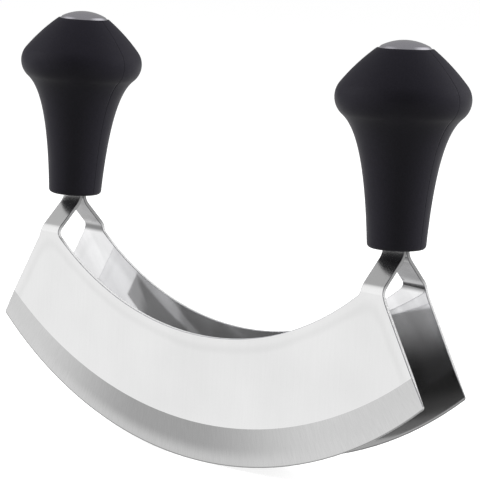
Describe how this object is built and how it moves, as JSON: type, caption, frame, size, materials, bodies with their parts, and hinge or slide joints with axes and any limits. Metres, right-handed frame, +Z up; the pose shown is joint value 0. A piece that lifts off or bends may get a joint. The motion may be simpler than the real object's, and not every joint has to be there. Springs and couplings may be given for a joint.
{
  "type": "mezzaluna",
  "caption": "Rocking herb chopper: parallel crescent steel blades with a ground edge, their ends folded together into an upright knob handle at each side.",
  "frame": {"origin": "on the board the tool stands on, under its middle, between the two blades", "axes": "+X along the blades, from the left handle to the right one; +Y from the front blade to the rear one; +Z up, from the cutting edges to the handles"},
  "size_m": [0.2094, 0.0474, 0.162],
  "materials": {
    "blade_steel": "polished faces, ground edge with fine streaks square to it",
    "cap_steel": "stamped, satin polished",
    "pin_steel": "plain drawn wire",
    "handle_plastic": "fine matt moulding texture",
    "plug_plastic": "plain black moulding"
  },
  "bodies": {
    "root": {"front_blade": "blade_steel", "rear_blade": "blade_steel", "left_handle_front_half": "handle_plastic", "left_handle_rear_half": "handle_plastic", "left_lower_tang_pin": "pin_steel", "left_upper_tang_pin": "pin_steel", "left_cap_plug": "plug_plastic", "left_end_cap": "cap_steel", "right_handle_front_half": "handle_plastic", "right_handle_rear_half": "handle_plastic", "right_lower_tang_pin": "pin_steel", "right_upper_tang_pin": "pin_steel", "right_cap_plug": "plug_plastic", "right_end_cap": "cap_steel"}
  },
  "joints": []
}
